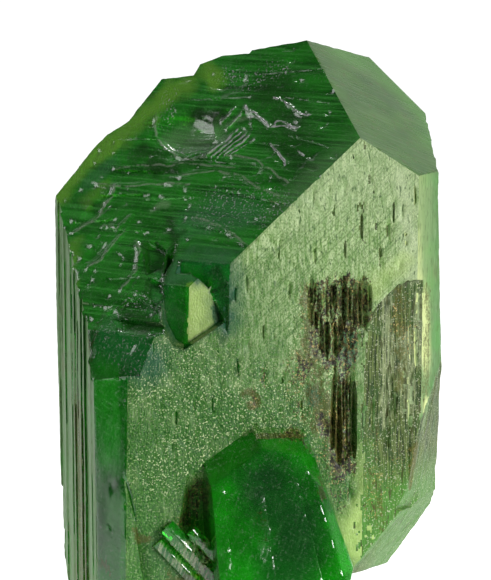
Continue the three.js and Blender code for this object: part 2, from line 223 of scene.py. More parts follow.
def satin_relief(u, v):
    along, aside = 0.5 * u - 0.87 * v, 0.87 * u + 0.5 * v
    return 0.007 * ripple(aside, along, 14, 0.40, 6.0) + 0.03 * ripple(u, v, 15, 3.0, 3.0)


def fibrous_relief(u, v):
    fibres = 0.080 * ripple(u, v, 16, 0.50, 3.6) + 0.040 * ripple(u, v, 17, 0.38, 0.9)
    return fibres + 0.09 * ripple(u, v, 18, 1.8, 3.2)


reliefs = {"etched": etched_relief, "slanted": slanted_relief, "glassy": glassy_relief,
           "striated": striated_relief, "ribbed": striated_relief,
           "satin": satin_relief, "fibrous": fibrous_relief}

points = np.array([v.co for v in skin.verts])
normals = np.array([v.normal for v in skin.verts])
which, turned_away = nearest_faces(points, normals)
moves = np.zeros(len(points))
for i, (vert, k) in enumerate(zip(skin.verts, which)):
    natural = faces[face_names[k]]
    u, v = vert.co.dot(natural["across"]), vert.co.dot(natural["up"])
    turns = [e.calc_face_angle_signed(0.0) for e in vert.link_edges]
    calm = 0.4 if max(abs(t) for t in turns) > 0.3 else 1.0
    worn = 0.05 * max(0.0, 0.3 + noise.noise(vert.co * 1.6)) if max(turns) > 0.5 else 0.0
    moves[i] = calm * reliefs[natural["finish"]](u, v) - worn

# Drawn on the slanted face: a shell-shaped bowl with its stepped right end, thin veins,
# long low arcs below it and broken flakes at the left
slant = on_face(points, "upper left")
BOWL_MIDDLE = (-5.4, 10.4)
BOWL_REACH = (3.7, 2.4)
BOWL_DEPTH = 0.42
BOWL_RIM = [
    (-9.2, 11.8), (-8.6, 9.9), (-7.2, 8.8), (-5.6, 8.0), (-4.2, 7.6), (-2.8, 7.8), (-2.0, 8.7),
]
BOWL_STEPS = [
    [(-2.6, 8.1), (-0.9, 10.6)], [(-2.1, 8.0), (-0.4, 10.4)], [(-1.5, 8.0), (0.2, 10.2)],
    [(-0.9, 8.2), (0.7, 9.9)], [(-0.3, 8.2), (1.2, 9.6)], [(-2.6, 11.4), (-1.8, 12.6)],
    [(-1.9, 10.8), (-1.0, 12.2)],
]
VEINS = [
    [(-0.9, 12.9), (0.0, 12.2), (1.3, 11.5), (2.3, 10.8), (3.5, 10.9), (5.0, 10.6)],
    [(2.5, 10.8), (2.6, 11.4), (3.5, 11.3), (5.0, 10.6)],
    [(1.7, 13.6), (2.5, 13.4), (3.6, 12.7), (4.6, 12.1), (5.6, 11.8)],
    [(2.9, 9.2), (3.8, 8.5), (4.7, 7.7), (5.0, 7.3)],
]
ARCS = [
    [(-1.1, 8.1), (0.4, 8.0), (2.0, 7.6), (3.8, 6.7), (5.9, 5.6)],
    [(-4.4, 6.0), (-2.9, 6.4), (-1.2, 6.6), (1.3, 6.1), (3.7, 4.9), (5.6, 4.4)],
    [(-12.7, 5.3), (-11.2, 4.9), (-9.4, 4.9), (-7.2, 5.2), (-5.3, 5.4), (-3.4, 5.3)],
    [(-11.2, 6.5), (-9.8, 6.9), (-7.9, 7.0), (-5.0, 7.2), (-2.2, 7.2), (0.3, 6.9)],
    [(-1.6, 2.3), (-0.5, 1.9), (1.0, 1.5), (3.4, 0.3), (5.1, -0.8)],
]
FLAKES = [
    [(-12.8, 0.5), (-12.1, 1.1), (-11.1, 1.7), (-10.9, 2.6), (-10.5, 4.0), (-10.4, 4.9)],
    [(-9.9, -2.8), (-8.9, -2.0), (-8.7, -1.1), (-8.2, 0.1), (-7.8, 0.9)],
    [(-10.2, 1.2), (-8.6, 1.0), (-7.8, 2.1)],
    [(-5.9, -4.6), (-5.2, -2.9), (-5.6, -1.2), (-6.3, -0.2)],
]
bowl_across = (slant[0] - BOWL_MIDDLE[0]) / BOWL_REACH[0]
bowl_up = (slant[1] - BOWL_MIDDLE[1]) / BOWL_REACH[1]
moves -= BOWL_DEPTH * np.clip(1 - bowl_across ** 2 - bowl_up ** 2, 0, 1) * slant[2]
RAISED_LINES = [
    ([BOWL_RIM], 0.10, 0.22), (BOWL_STEPS, 0.11, 0.17), (VEINS, 0.07, 0.16),
    (ARCS, 0.06, 0.30), (FLAKES, 0.10, 0.24),
]
for trails, height, width in RAISED_LINES:
    for trail in trails:
        moves += height * stroke(slant, trail, width)

# Where black and rusty inclusions have weathered out, the front is ragged and splintered
front = on_face(points, "front")
INCLUSION_TRAILS = [
    ([(5.0, 0.6), (5.2, -1.0), (5.0, -3.6)], 0.9), ([(6.2, 0.7), (6.6, -1.6), (6.3, -4.6)], 1.0),
    ([(7.4, 0.7), (7.7, -1.6), (6.9, -4.8)], 0.9), ([(8.4, 0.7), (8.3, -1.6)], 0.7),
    ([(5.2, -3.4), (5.4, -5.0)], 0.3), ([(6.2, -5.6), (6.5, -7.4)], 0.6),
    ([(6.6, -8.0), (6.9, -13.4)], 0.75), ([(6.1, -9.8), (6.2, -12.2)], 0.6),
    ([(1.5, -11.3), (2.6, -11.0), (3.3, -11.6)], 0.7), ([(-0.5, -7.2), (-0.3, -8.1)], 0.35),
    ([(0.3, -6.0), (0.6, -6.9)], 0.3), ([(5.0, -9.6), (5.2, -10.6)], 0.3),
]
splintered = sum(stroke(front, trail, width) for trail, width in INCLUSION_TRAILS)
for i in np.nonzero(splintered > 0.02)[0]:
    u, v = front[0][i], front[1][i]
    splinters = 0.07 * ripple(u, v, 31, 0.50, 1.2) + 0.12 * ripple(u, v, 32, 0.42, 0.55) - 0.05
    moves[i] += min(1.0, splintered[i]) * splinters

# The cut base stays level: the relief fades out just above it
BASE = -25.5
FADE = 0.6
moves *= np.clip((points[:, 2] - BASE) / FADE, 0, 1)
for vert, move in zip(skin.verts, moves):
    vert.co += vert.normal * move
skin.normal_update()

bmesh.ops.translate(skin, vec=HEART, verts=skin.verts)
bmesh.ops.scale(skin, vec=(MM, MM, MM), verts=skin.verts)
skin.to_mesh(crystal.data)
skin.free()

thin = crystal.modifiers.new("thin", "DECIMATE")
thin.ratio = FACETS_KEPT
apply_modifiers(crystal)
skin = bmesh.new()
skin.from_mesh(crystal.data)
close_pinches(skin)
bmesh.ops.recalc_face_normals(skin, faces=skin.faces)
skin.to_mesh(crystal.data)
skin.free()

# The finishes and stains. Every facet takes the finish of its natural face, and a map of that
# face in millimetres. The stains are washed in: rust and black inclusions on the front, pale
# fibres at the lower right. Painted light is washed in with them: a painted sheen on the front,
# painted glints, bluish painted reflections, a painted glow where the stone is thin, and painted
# shade on the step risers and in darker patches.
mesh = crystal.data
mesh.polygons.foreach_set("use_smooth", [True] * len(mesh.polygons))
mesh.set_sharp_from_angle(angle=math.radians(30))


def read(collection, name):
    """Three numbers for each part of the mesh, such as its place."""
    values = np.zeros(len(collection) * 3)
    collection.foreach_get(name, values)
    return values.reshape(-1, 3)


points = read(mesh.vertices, "co") / MM - np.array(HEART)
centres = read(mesh.polygons, "center") / MM - np.array(HEART)
polygon_face, polygon_turned = nearest_faces(centres, read(mesh.polygons, "normal"))

loop_vertex = np.zeros(len(mesh.loops), dtype=np.int64)
mesh.loops.foreach_get("vertex_index", loop_vertex)
corner_counts = [len(p.vertices) for p in mesh.polygons]
loop_face = np.repeat(polygon_face, corner_counts)
corner = points[loop_vertex]
MAP_SPAN = 80
u = (corner * face_across[loop_face]).sum(1) / MAP_SPAN + 0.5
v = (corner * face_up[loop_face]).sum(1) / MAP_SPAN + 0.5
face_map = mesh.uv_layers.new(name="face_map")
face_map.data.foreach_set("uv", np.stack([u, v], 1).ravel())

ragged_across = np.array([
    0.35 * noise.noise(Vector(p) * 1.3) + 0.12 * noise.noise(Vector(p) * 4.1) for p in points])
ragged_up = np.array([0.8 * noise.noise(Vector(p) * 0.9 + Vector((9, 4, 2))) for p in points])


def ragged(name, across=1.0, up=1.0):
    """The points' places on a face, shifted a little so that no stain ends in a smooth line."""
    where = on_face(points, name)
    return where[0] + across * ragged_across, where[1] + up * ragged_up, where[2]


def wash(name, *layers):
    """Writes the sum of some strokes on the mesh, as the stain of that name."""
    amount = np.clip(sum(layers), 0, 1)
    stain = mesh.attributes.new(name, "FLOAT", "POINT")
    stain.data.foreach_set("value", amount.astype(np.float32))


LINE_REACH = 0.4


def thin_lines(where, trails):
    """How near each point lies to the nearest of some thin drawn lines, from 0 to 1 on the line."""
    away = np.minimum.reduce([distance_to(where, trail) for trail in trails])
    return np.clip(1 - away / LINE_REACH, 0, 1) * where[2]


front = ragged("front")
floor = ragged("fibrous floor")
slant = ragged("upper left")
low = ragged("low plate")
side = ragged("side front")
left = ragged("left")
BEVEL_END = -9.7
bevel = ragged("front bevel")
bevel = bevel[0], bevel[1], bevel[2] * (points[:, 0] < BEVEL_END)
outer_plate = ragged("outer plate")
inner_plate = ragged("inner plate")
end = ragged("upper right")
right_edge = ragged("right bevel")

# The risers of the growth steps, the bright eye among them, the blades and the right foot, by
# their edges in millimetres from the heart. The risers get painted shade, the eye and the right
# foot a painted glow, and the blades painted glints.
riser = np.zeros(len(points))
np.maximum.at(riser, loop_vertex, np.repeat(polygon_turned, corner_counts))
right, back, high = points.T
STEPS_END, STEPS_FOOT, STEPS_TOP = -0.5, -8, 4
in_steps = (back < 0) & (high > STEPS_FOOT) & (high < STEPS_TOP) & (right < STEPS_END)
EYE_LEFT, EYE_RIGHT = -6.2, -3.4
EYE_FOOT, EYE_TOP = -4.4, 1.5
eye_depth = points @ np.array(faces["eye"]["out"]) - faces["eye"]["distance"]
in_eye = (front[0] > EYE_LEFT) & (front[0] < EYE_RIGHT) & (np.abs(eye_depth) < 0.25)
in_eye &= (front[1] > EYE_FOOT) & (front[1] < EYE_TOP)
BLADES_END, BLADES_TOP = -2.8, -18.8
proud = points @ np.array(faces["front"]["out"]) - faces["front"]["distance"]
on_blades = (proud > 0.25) & (high < BLADES_TOP) & (right < BLADES_END)
FOOT_SIDE, FOOT_TOP = 8.5, -12.5
at_right_foot = np.clip((right - FOOT_SIDE) / 2.5, 0, 1) * np.clip((FOOT_TOP - high) / 3, 0, 1)

wash("inclusion",
     *[stroke(front, trail, width, 0.85) for trail, width in INCLUSION_TRAILS],
     stroke(front, [(4.2, 0.2), (4.4, -3.0), (3.4, -5.6)], 1.1, 0.55),
     stroke(front, [(3.4, -5.6), (2.4, -7.6), (2.8, -9.0)], 1.0, 0.40),
     stroke(front, [(6.8, -4.6), (7.2, -8.2)], 1.0, 0.55),
     stroke(front, [(5.2, -9.2), (5.4, -13.0)], 0.9, 0.50),
     stroke(front, [(6.6, -13.0), (6.2, -16.0)], 1.0, 0.60),
     stroke(front, [(-5.6, -17.5), (-4.6, -15.6), (-3.4, -14.3)], 0.8, 0.9),
     stroke(front, [(-4.4, -15.6), (-4.2, -21.5)], 1.3, 0.9),
     stroke(floor, [(8.0, -10.6), (7.6, -16.6)], 0.9, 0.42),
     stroke(floor, [(10.0, -12.6), (9.4, -15.2)], 1.0, 0.40),
     stroke(floor, [(11.2, -2.6), (11.0, -4.4)], 0.7, 0.55),
     stroke(floor, [(9.6, -1.6), (9.7, -3.2)], 0.5, 0.45))
wash("rust",
     stroke(front, [(3.8, 0.2), (4.2, -1.8), (3.8, -4.6)], 0.8),
     stroke(front, [(4.6, -4.4), (5.2, -7.6)], 1.0, 0.7),
     stroke(front, [(6.0, -9.6), (6.4, -13.0)], 1.4),
     stroke(front, [(1.4, -11.2), (2.6, -11.0), (3.6, -11.7)], 0.7),
     stroke(front, [(-0.8, -7.4), (-0.2, -8.2)], 0.6),
     stroke(front, [(2.6, -5.4), (4.2, -9.4)], 1.3, 0.55),
     stroke(front, [(-9.6, -18.2), (-8.4, -18.9)], 0.5, 0.9),
     stroke(front, [(-6.6, -22.0), (-4.4, -23.0)], 0.9),
     stroke(floor, [(10.0, 0.2), (10.2, -7.0)], 0.7, 0.75),
     stroke(floor, [(11.5, -12.4), (11.3, -15.2)], 0.6, 1.2),
     stroke(floor, [(12.6, 0.6), (12.4, -8.0)], 0.6, 0.7),
     stroke(floor, [(7.8, -14.0), (8.6, -18.0)], 0.8, 0.6),
     stroke(left, [(-2.8, -10.0), (-2.2, -15.5), (-1.0, -24.0)], 2.2, 0.9),
     stroke(left, [(1.6, -2.0), (1.8, -8.0)], 0.6, 0.6),
     stroke(side, [(5.2, -15.0), (5.5, -16.4)], 0.35, 1.1),
     stroke(side, [(0.6, -17.5), (0.9, -19.6)], 0.8, 0.45),
     stroke(bevel, [(-5.0, -21.0), (-4.2, -21.7)], 0.4, 1.1))
# Paler patches: the whitish fibres at the lower right are the stone's own; on the upper front, the bowl
# and flakes of the slanted face and the right bevel they are a painted sheen
wash("pale_and_sheen",
     stroke(floor, [(8.9, -0.4), (9.0, -5.0), (8.8, -9.8)], 0.6),
     stroke(floor, [(10.4, -3.6), (10.8, -8.6)], 0.9, 0.9),
     stroke(floor, [(11.8, -0.5), (12.2, -5.4)], 0.8, 0.8),
     stroke(floor, [(12.6, -8.7), (12.7, -11.8)], 0.45, 1.4),
     stroke(front, [(11.2, 9.0), (12.4, 1.2)], 0.7, 0.5),
     stroke(front, [(3.2, 8.4), (8.4, 9.6)], 3.2, 0.4),
     stroke(slant, [(-6.8, 9.8), (-5.0, 10.0), (-3.0, 10.3)], 1.2, 0.55),
     stroke(slant, [(-1.7, 11.4), (-0.5, 11.9)], 0.4, 0.7),
     stroke(slant, [(-12.3, 1.1), (-11.2, 1.9), (-10.8, 3.6)], 0.3, 0.7),
     stroke(slant, [(-5.6, 2.8), (-4.9, 3.5)], 0.4, 0.8),
     stroke(right_edge, [(-6, 13), (-6, -4)], 8.0, 0.8),
     # The blades, painted paler as glints
     0.9 * on_blades)
# Frosting of the front, painted lighter towards the upper right and upwards as a sheen
wash("frost_and_sheen",
     front[2] * np.clip(0.52 + 0.060 * (front[1] + 1.0) + 0.034 * front[0], 0.0, 1.0))
# Where painted glints are laid thickest: bright specks that stand in for light caught by the grain
wash("painted_glints",
     stroke(front, [(-8.0, -5.0), (-3.0, -8.5), (3.0, -9.0)], 3.6, 0.60),
     stroke(front, [(-8.0, -13.4), (-4.6, -12.0)], 1.8, 0.7),
     stroke(front, [(3.2, -1.0), (3.6, -4.0), (5.6, -7.0)], 1.1, 0.9),
     stroke(front, [(6.4, -9.0), (6.8, -12.8)], 1.2),
     stroke(slant, [(0.0, 3.6), (5.4, 3.2)], 1.8, 0.8),
     stroke(slant, [(-8.6, 13.6), (-8.2, 12.0)], 0.7),
     stroke(slant, [(-3.6, 16.2), (-1.6, 14.8), (1.2, 16.4)], 0.9, 0.8),
     stroke(slant, [(-7.4, 8.8), (-3.0, 8.2)], 0.6),
     stroke(slant, [(-4.6, -5.4), (-2.2, -6.0)], 0.8),
     stroke(low, [(-5.0, -6.0), (-1.4, -8.0)], 1.8, 0.7))
# Bluish patches: partly the stone's own tone, mostly a painted bluish reflection on the plates and the
# slanted face
wash("teal_and_reflection",
     stroke(slant, [(-1.6, 1.8), (0.6, 2.8), (3.0, 2.6)], 1.7, 0.8),
     stroke(slant, [(-12.0, 7.0), (-13.4, 5.2)], 0.8, 0.6),
     stroke(low, [(-5.4, -6.0), (-1.4, -7.6)], 1.8, 0.9),
     stroke(front, [(7.0, -3.4), (7.2, -4.6)], 0.7),
     stroke(front, [(4.3, -7.3), (4.4, -7.9)], 0.5),
     stroke(outer_plate, [(-0.6, 2.0), (2.8, 2.2), (2.8, -1.6)], 1.3),
     stroke(inner_plate, [(-2.0, 1.4), (-1.6, -3.0)], 1.4, 0.55))
# Painted glow: lighter green where light would shine through thin stone from behind, on the rims, the
# side crystal, the bevel and the lower right
wash("painted_glow",
     stroke(slant, [(-7.5, 14.9), (-8.8, 14.2), (-10.2, 12.2), (-11.6, 10.6), (-12.9, 8.9)], 1.2),
     stroke(slant, [(-12.9, 8.9), (-14.2, 7.4), (-15.2, 5.9), (-15.8, 3.8)], 1.0),
     stroke(slant, [(-6.1, 16.6), (-4.6, 15.4)], 0.8),
     stroke(slant, [(-11.8, 4.9), (-12.8, 3.4)], 0.7, 0.5),
     stroke(slant, [(-12.4, -0.6), (-11.0, -5.0)], 0.7, 0.6),
     stroke(end, [(8.4, 10.2), (11.4, 8.8), (12.0, 5.1), (11.8, 1.6), (9.8, -0.6)], 1.5, 0.9),
     stroke(side, [(-2.6, -15.4), (-2.0, -18.0), (-1.2, -22.5)], 1.0, 0.35),
     stroke(side, [(6.2, -18.0), (7.4, -21.5)], 0.6, 0.6),
     stroke(front, [(8.8, 0.2), (10.0, 1.6), (11.6, 2.6)], 0.7, 0.5),
     stroke(front, [(8.6, -12.0), (8.2, -20.0)], 0.9, 0.4),
     stroke(floor, [(7.0, -19.0), (12.0, -17.6)], 2.4),
     stroke(floor, [(13.0, -3.0), (13.2, -16.0)], 0.7, 0.8),
     stroke(bevel, [(-4.8, -6.5), (-3.6, -9.5), (-4.0, -12.0)], 1.6, 0.9),
     stroke(bevel, [(-2.6, -16.0), (-2.2, -20.6)], 0.35, 0.5),
     # The right foot and the bright eye facet, painted lighter as a glow
     0.8 * at_right_foot,
     1.0 * in_eye)
unsteady = ragged("upper left", 0.5, 0.25)
wash("vein", thin_lines(unsteady, VEINS + BOWL_STEPS))
wash("arc", thin_lines(unsteady, ARCS + FLAKES + [BOWL_RIM]))
# Darker patches: partly the stone's own deeper tone, partly painted shade, on the slanted face, the
# side crystal, the bevel and the lower front
wash("dark_and_shade",
     stroke(slant, [(-5.6, 12.0), (-4.0, 11.8), (-2.8, 12.0)], 0.8),
     stroke(slant, [(-9.6, 8.4), (-7.0, 7.0), (-3.2, 7.4)], 0.8, 0.8),
     stroke(slant, [(1.0, 14.6), (4.6, 10.0), (6.0, 8.0)], 2.2, 0.7),
     stroke(slant, [(-4.0, 1.6), (-2.6, 0.2), (-2.4, -3.4)], 0.5, 0.8),
     stroke(slant, [(-4.6, -7.2), (-1.4, -7.9)], 0.7),
     stroke(side, [(1.0, -15.4), (3.4, -18.4), (2.6, -22.5)], 2.3),
     stroke(bevel, [(-2.4, -10.5), (-2.0, -14.5)], 0.5, 0.9),
     stroke(bevel, [(-4.6, -12.5), (-4.2, -24.0)], 2.2, 0.6),
     stroke(front, [(-3.2, 1.9), (-2.5, -0.4), (-2.6, -3.2)], 0.4, 0.9),
     stroke(front, [(-7.4, -20.0), (-3.4, -22.4)], 1.6, 0.7),
     # Painted shade on the risers of the growth steps, where they turn away from their face
     np.where(in_steps, np.clip((riser - 0.10) * 6, 0, 0.9), 0))


# The finishes of the green. All are the same clear stone, which soaks up light along its
# depth; they differ in how much of their surface is etched, ribbed or stained, and in the light
# and shade painted into their colour.
def add(tree, kind, inputs=None, **settings):
    """Adds one step of a finish, with its inputs set or linked."""
    made = tree.nodes.new(kind)
    for name, value in settings.items():
        setattr(made, name, value)
    for name, value in (inputs or {}).items():
        if isinstance(value, bpy.types.NodeSocket):
            tree.links.new(value, made.inputs[name])
        else:
            made.inputs[name].default_value = value
    return made


def mixed(tree, amount, first, second):
    """The first colour, with the second laid over it by the amount."""
    made = tree.nodes.new("ShaderNodeMix")
    made.data_type = "RGBA"
    made.clamp_factor = True
    for socket, value in zip([made.inputs[0], made.inputs[6], made.inputs[7]], [amount, first, second]):
        if isinstance(value, bpy.types.NodeSocket):
            tree.links.new(value, socket)
        else:
            socket.default_value = value if isinstance(value, float) else (*value, 1)
    return made.outputs[2]


def between(tree, value, low, high, start=0.0, end=1.0):
    """Rises from start to end while the value rises from low to high."""
    return add(tree, "ShaderNodeMapRange", {
        "Value": value, "From Min": low, "From Max": high, "To Min": start, "To Max": end}).outputs[0]


def math_of(tree, operation, first, second):
    return add(tree, "ShaderNodeMath", {0: first, 1: second}, operation=operation).outputs[0]


def times(tree, first, second):
    return math_of(tree, "MULTIPLY", first, second)


def plus(tree, first, second):
    return math_of(tree, "ADD", first, second)


def stain(tree, name):
    return add(tree, "ShaderNodeAttribute", attribute_name=name).outputs["Fac"]


def washed(tree, colour, name, strength, tint):
    """The colour, with a tint laid over it where the stain of that name lies."""
    return mixed(tree, times(tree, stain(tree, name), strength), colour, tint)


def patched(tree, colour, pattern, low, high, strength, tint):
    """The colour, with a tint laid over it where a pattern rises from low to high."""
    return mixed(tree, times(tree, between(tree, pattern, low, high), strength), colour, tint)


def grain(tree, place, wide, tall, turn=0.0, detail=3.0):
    """Noise drawn out along a face: wide and tall are the size of its grains in millimetres."""
    turned = add(tree, "ShaderNodeMapping", {
        "Vector": place, "Rotation": (0, 0, math.radians(turn))}).outputs[0]
    drawn = add(tree, "ShaderNodeMapping", {
        "Vector": turned, "Scale": (MAP_SPAN / wide, MAP_SPAN / tall, 1)}).outputs[0]
    return add(tree, "ShaderNodeTexNoise", {
        "Vector": drawn, "Scale": 1.0, "Detail": detail, "Roughness": 0.55}).outputs[0]


def cloud(tree, size, detail=3.0):
    """Noise that runs through the stone: size is the size of its clouds in millimetres."""
    place = add(tree, "ShaderNodeTexCoord").outputs["Object"]
    return add(tree, "ShaderNodeTexNoise", {
        "Vector": place, "Scale": 1 / (size * MM), "Detail": detail, "Roughness": 0.6}).outputs[0]


STONE_COLOUR = (0.60, 0.86, 0.05, 1)
STONE_DEPTH = 420.0


def stone(name, clear, rough_low, rough_high, bump, gloss=0.5):
    """The shared stone: clear is the share of light that passes its surface, the roughnesses are
    those of its smooth and its etched spots, and bump is the height of its grain in millimetres."""
    made = bpy.data.materials.new(name)
    made.use_nodes = True
    tree = made.node_tree
    shader = tree.nodes["Principled BSDF"]
    shader.inputs["Transmission Weight"].default_value = clear
    shader.inputs["IOR"].default_value = 1.68
    shader.inputs["Specular IOR Level"].default_value = gloss
    soak = add(tree, "ShaderNodeVolumeAbsorption", {"Color": STONE_COLOUR, "Density": STONE_DEPTH})
    tree.links.new(soak.outputs[0], tree.nodes["Material Output"].inputs["Volume"])
    place = add(tree, "ShaderNodeUVMap", uv_map="face_map").outputs[0]

    def finish(colour, roughness, height):
        tree.links.new(colour, shader.inputs["Base Color"])
        rough = between(tree, roughness, 0.25, 0.75, rough_low, rough_high)
        tree.links.new(rough, shader.inputs["Roughness"])
        raised = add(tree, "ShaderNodeBump", {"Strength": 1.0, "Distance": bump * MM, "Height": height})
        tree.links.new(raised.outputs[0], shader.inputs["Normal"])
        return made
    return tree, place, finish


def stained(tree, colour, ragged_grain):
    """Lays rust, then broken black and brown inclusions with rusty grains painted bright orange as
    glints, over a finish.
    """
    crumbs = plus(tree, times(tree, cloud(tree, 0.22), 0.6), times(tree, ragged_grain, 0.4))
    rusty = plus(tree, times(tree, stain(tree, "rust"), 0.32), crumbs)
    colour = patched(tree, colour, rusty, 0.66, 0.78, 0.75, RUST)
    black = between(tree, plus(tree, times(tree, stain(tree, "inclusion"), 0.21), crumbs), 0.66, 0.72)
    soot = mixed(tree, between(tree, cloud(tree, 0.45, 4.0), 0.46, 0.60), BLACK, BROWN)
    colour = mixed(tree, black, colour, soot)
    near_black = plus(tree, stain(tree, "inclusion"), times(tree, stain(tree, "rust"), 0.5))
    near_black = between(tree, near_black, 0.2, 0.8)
    # Orange rusty grains among the inclusions, painted bright as glints
    rust_glints = times(tree, between(tree, cloud(tree, 0.16, 2.0), 0.61, 0.65), near_black)
    return mixed(tree, times(tree, rust_glints, 0.9), colour, RUST_GLINT)


RUST = (0.085, 0.090, 0.007)
BLACK = (0.014, 0.013, 0.006)
BROWN = (0.10, 0.085, 0.022)
# Bright orange, painted as glints on the rusty grains
RUST_GLINT = (0.62, 0.46, 0.16)

# Etched: the big front face, frosted by fine upright pits and slanted scratches; the frosting is
# painted lighter towards the upper right as a sheen. Lower down and to the left the frosting
# breaks up into glittering grains over the darker stone: the grains are painted glints, and the
# darker spots in the pits painted shade.
tree, place, finish = stone("etched_front", 0.30, 0.36, 0.58, 0.05, gloss=0.18)
upright = grain(tree, place, 0.22, 1.5)
fine = grain(tree, place, 0.13, 0.22, detail=2.0)
scratches = grain(tree, place, 0.11, 9.0, turn=47, detail=1.0)
deep = mixed(tree, between(tree, fine, 0.40, 0.60), (0.006, 0.10, 0.002), (0.06, 0.24, 0.018))
bright = mixed(tree, between(tree, upright, 0.35, 0.65), (0.24, 0.46, 0.11), (0.66, 0.84, 0.42))
bright = patched(tree, bright, fine, 0.52, 0.60, 0.8, (0.12, 0.28, 0.04))
bright = patched(tree, bright, scratches, 0.56, 0.62, 0.6, (0.10, 0.22, 0.04))
uneven = between(tree, plus(tree, cloud(tree, 2.2), times(tree, upright, 0.6)), 0.5, 1.1, -0.35, 0.35)
# Where the frosting with its painted sheen covers the darker stone
cover = plus(tree, stain(tree, "frost_and_sheen"), uneven)
colour = mixed(tree, cover, deep, bright)
colour = washed(tree, colour, "pale_and_sheen", 0.6, (0.72, 0.86, 0.50))
# Painted shade: small darker spots standing in for shade in the etched pits
pit_shade = between(tree, grain(tree, place, 0.22, 0.8, detail=2.0), 0.60, 0.66)
colour = mixed(tree, times(tree, pit_shade, 0.75), colour, (0.03, 0.12, 0.015))
colour = washed(tree, colour, "painted_glow", 0.75, (0.62, 0.85, 0.24))
colour = washed(tree, colour, "dark_and_shade", 0.85, (0.01, 0.08, 0.008))
# Painted glints: bright yellowish specks laid over the front as light caught by its grain
grains = between(tree, cloud(tree, 0.13, 1.0), 0.60, 0.65)
glint_spots = times(tree, grains, plus(tree, stain(tree, "painted_glints"), 0.35))
colour = mixed(tree, times(tree, glint_spots, 0.9), colour, (0.75, 0.88, 0.45))
colour = washed(tree, colour, "teal_and_reflection", 0.75, (0.010, 0.11, 0.06))
colour = stained(tree, colour, grain(tree, place, 0.24, 1.0))
etched = finish(colour, fine, plus(tree, fine, times(tree, scratches, 0.4)))

# Slanted: the dark glassy face at the upper left, built of thin level growth layers, with a
# shell-shaped bowl and thin veins. The veins and the long arcs are painted white as glints, white
# specks are painted glints, the bowl is painted paler as a sheen, bluish patches are a painted
# reflection, darker patches are partly painted shade, and the rim has a painted glow where the
# stone is thin.
tree, place, finish = stone("glassy_slant", 0.66, 0.10, 0.24, 0.020)
layers = grain(tree, place, 9.0, 0.22, turn=4, detail=2.0)
broad = grain(tree, place, 6.0, 1.2, turn=4)
fine = grain(tree, place, 0.16, 0.13, detail=2.0)
colour = mixed(tree, between(tree, broad, 0.35, 0.65), (0.010, 0.23, 0.007), (0.045, 0.64, 0.030))
colour = patched(tree, colour, layers, 0.50, 0.60, 0.7, (0.12, 0.85, 0.10))
colour = patched(tree, colour, cloud(tree, 1.3), 0.54, 0.68, 0.4, (0.10, 0.62, 0.08))
colour = washed(tree, colour, "teal_and_reflection", 0.7, (0.14, 0.55, 0.20))
colour = washed(tree, colour, "dark_and_shade", 0.85, (0.015, 0.11, 0.008))
colour = washed(tree, colour, "painted_glow", 0.9, (0.38, 1.0, 0.09))
colour = washed(tree, colour, "pale_and_sheen", 0.6, (0.60, 1.0, 0.50))
# Painted glints: white specks standing in for light caught on tiny facets
specks = between(tree, cloud(tree, 0.15, 1.0), 0.61, 0.66)
glint_amount = plus(tree, 0.12, stain(tree, "painted_glints"))
colour = mixed(tree, times(tree, specks, glint_amount), colour, (1.0, 1.0, 1.0))
# The veins and the long arcs, painted white as glints of light caught along their raised lines
veins = between(tree, stain(tree, "vein"), 0.68, 0.86)
broken = between(tree, grain(tree, place, 0.5, 0.5), 0.36, 0.50)
colour = mixed(tree, times(tree, times(tree, veins, broken), 0.95), colour, (1.0, 1.0, 1.0))
arcs = between(tree, stain(tree, "arc"), 0.68, 0.86)
colour = mixed(tree, times(tree, times(tree, arcs, broken), 0.5), colour, (0.85, 1.0, 0.75))
colour = stained(tree, colour, grain(tree, place, 0.24, 1.0))
height = plus(tree, plus(tree, layers, times(tree, fine, 0.25)), times(tree, veins, 1.2))
slanted = finish(colour, plus(tree, times(tree, layers, 0.6), times(tree, fine, 0.4)), height)

# Glassy: the growth steps, the front bevel, the base and the side crystal, smooth with fine
# crossing veils. A painted glow lightens them where the stone is thin, bluish patches are a
# painted reflection, the step risers carry painted shade, the blades get paler veils painted as
# glints, and white specks are painted glints.
tree, place, finish = stone("glassy_green", 0.74, 0.08, 0.22, 0.006)
veils = grain(tree, place, 0.22, 1.6, turn=20)
crossing = grain(tree, place, 0.18, 2.0, turn=-62)
fine = grain(tree, place, 0.15, 0.15, detail=2.0)
clouds = between(tree, cloud(tree, 2.4), 0.35, 0.65)
colour = mixed(tree, clouds, (0.003, 0.24, 0.002), (0.010, 0.56, 0.006))
hazy = plus(tree, between(tree, veils, 0.56, 0.68), between(tree, crossing, 0.56, 0.68))
colour = washed(tree, colour, "teal_and_reflection", 0.85, (0.012, 0.55, 0.07))
colour = washed(tree, colour, "dark_and_shade", 0.9, (0.01, 0.13, 0.02))
colour = washed(tree, colour, "painted_glow", 0.85, (0.020, 0.85, 0.010))
colour = mixed(tree, times(tree, hazy, 0.08), colour, (0.30, 0.90, 0.25))
# Paler veils, mostly the blades painted as glints
pale_and_sheen_veils = times(tree, stain(tree, "pale_and_sheen"), between(tree, veils, 0.47, 0.58))
colour = mixed(tree, pale_and_sheen_veils, colour, (0.70, 0.85, 0.45))
# Painted glints: white specks standing in for light caught on tiny facets
specks = between(tree, cloud(tree, 0.15, 1.0), 0.62, 0.67)
glint_amount = plus(tree, 0.15, stain(tree, "painted_glints"))
colour = mixed(tree, times(tree, specks, glint_amount), colour, (1.0, 1.0, 1.0))
colour = stained(tree, colour, grain(tree, place, 0.24, 1.0))
glassy = finish(colour, veils, plus(tree, times(tree, hazy, 0.6), times(tree, fine, 0.4)))

